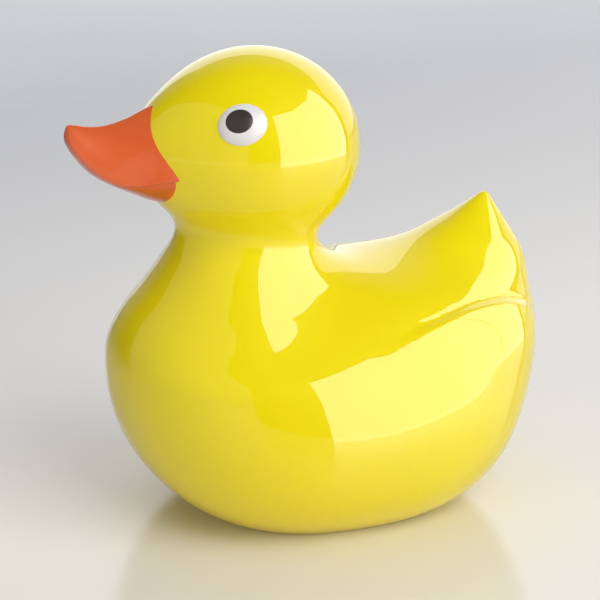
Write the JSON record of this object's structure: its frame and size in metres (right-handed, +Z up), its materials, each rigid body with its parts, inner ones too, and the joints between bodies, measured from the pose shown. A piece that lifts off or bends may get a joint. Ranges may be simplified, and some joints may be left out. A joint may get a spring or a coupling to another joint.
{
  "type": "floating chlorine dispenser",
  "caption": "Duck-shaped float with bill and domed eyes; a tablet basket, bayonet ring and turning regulator sit inside its flat base.",
  "frame": {"origin": "centre of the flat base, on the axis of the tablet chamber", "axes": "+Z up along the tablet chamber; -Y towards the bill; +X the duck's left side"},
  "size_m": [0.1828, 0.2629, 0.2505],
  "materials": {
    "yellow_skin": "high gloss moulded",
    "orange_bill": "satin gloss moulded",
    "eye_white": "satin gloss",
    "eye_black": "satin",
    "white_plastic": "fine moulded texture",
    "basket_plastic": "fine moulded texture",
    "blue_plastic": "fine moulded texture",
    "seal_rubber": "matt",
    "stainless": "turned",
    "tablet": "pressed powder"
  },
  "bodies": {
    "cartridge": {"base_cap": "white_plastic", "tablet_basket": "basket_plastic", "tablet_lower": "tablet", "tablet_middle": "tablet", "cap_o_ring": "seal_rubber", "dial_clip": "stainless", "wave_washer": "stainless"},
    "dial": {"regulator_dial": "blue_plastic"},
    "duck": {"body_shell": "yellow_skin", "bill": "orange_bill", "eye_white_left": "eye_white", "eye_white_right": "eye_white", "pupil_left": "eye_black", "pupil_right": "eye_black", "tablet_well": "white_plastic", "well_gasket": "seal_rubber", "flange_screws": "stainless", "ballast_ring": "stainless", "ballast_clip": "stainless"},
    "lock": {"locking_ring": "blue_plastic"}
  },
  "joints": [
    {"name": "dial_turn", "type": "hinge", "parent": "cartridge", "child": "dial", "pos_m": [0, 0, 0.0047], "axis": [0, 0, 1], "range_deg": [0, 30]},
    {"name": "duck_lift", "type": "slide", "parent": "cartridge", "child": "duck", "axis": [0, 0, 1], "range_m": [0, 0.15]},
    {"name": "lock_turn", "type": "hinge", "parent": "duck", "child": "lock", "pos_m": [0, 0, 0.006], "axis": [0, 0, 1], "range_deg": [0, 60]}
  ]
}
